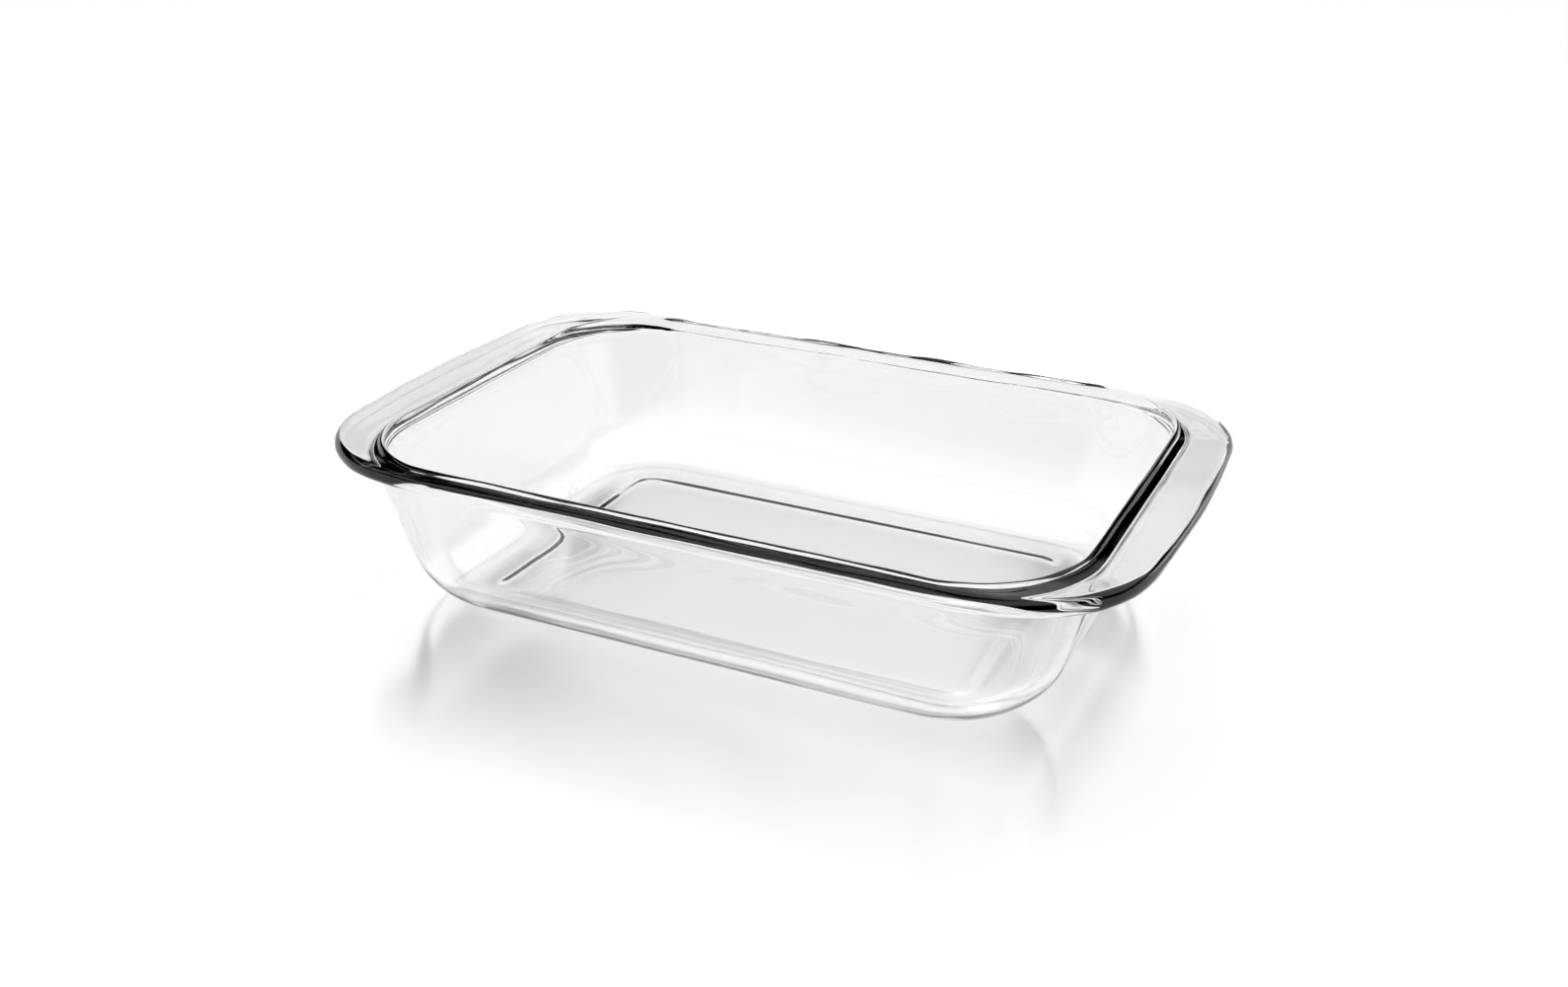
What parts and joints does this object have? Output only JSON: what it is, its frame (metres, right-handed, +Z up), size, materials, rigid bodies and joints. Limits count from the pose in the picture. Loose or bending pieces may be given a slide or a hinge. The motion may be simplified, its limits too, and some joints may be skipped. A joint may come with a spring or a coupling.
{
  "type": "glass baking dish",
  "caption": "Rectangular baking dish of clear pressed glass, with leaning walls, rounded corners, a raised rim and a wide flat handle at each end.",
  "frame": {"origin": "under the middle of the dish, on the plane of the foot ring that it stands on", "axes": "+X along the length towards one handle, +Y across the width, +Z up out of the mouth"},
  "size_m": [0.35, 0.2212, 0.072],
  "materials": {
    "clear_glass": "clear, smooth pressed glass with a very slight wave in the walls"
  },
  "bodies": {
    "root": {"dish": "clear_glass"}
  },
  "joints": []
}
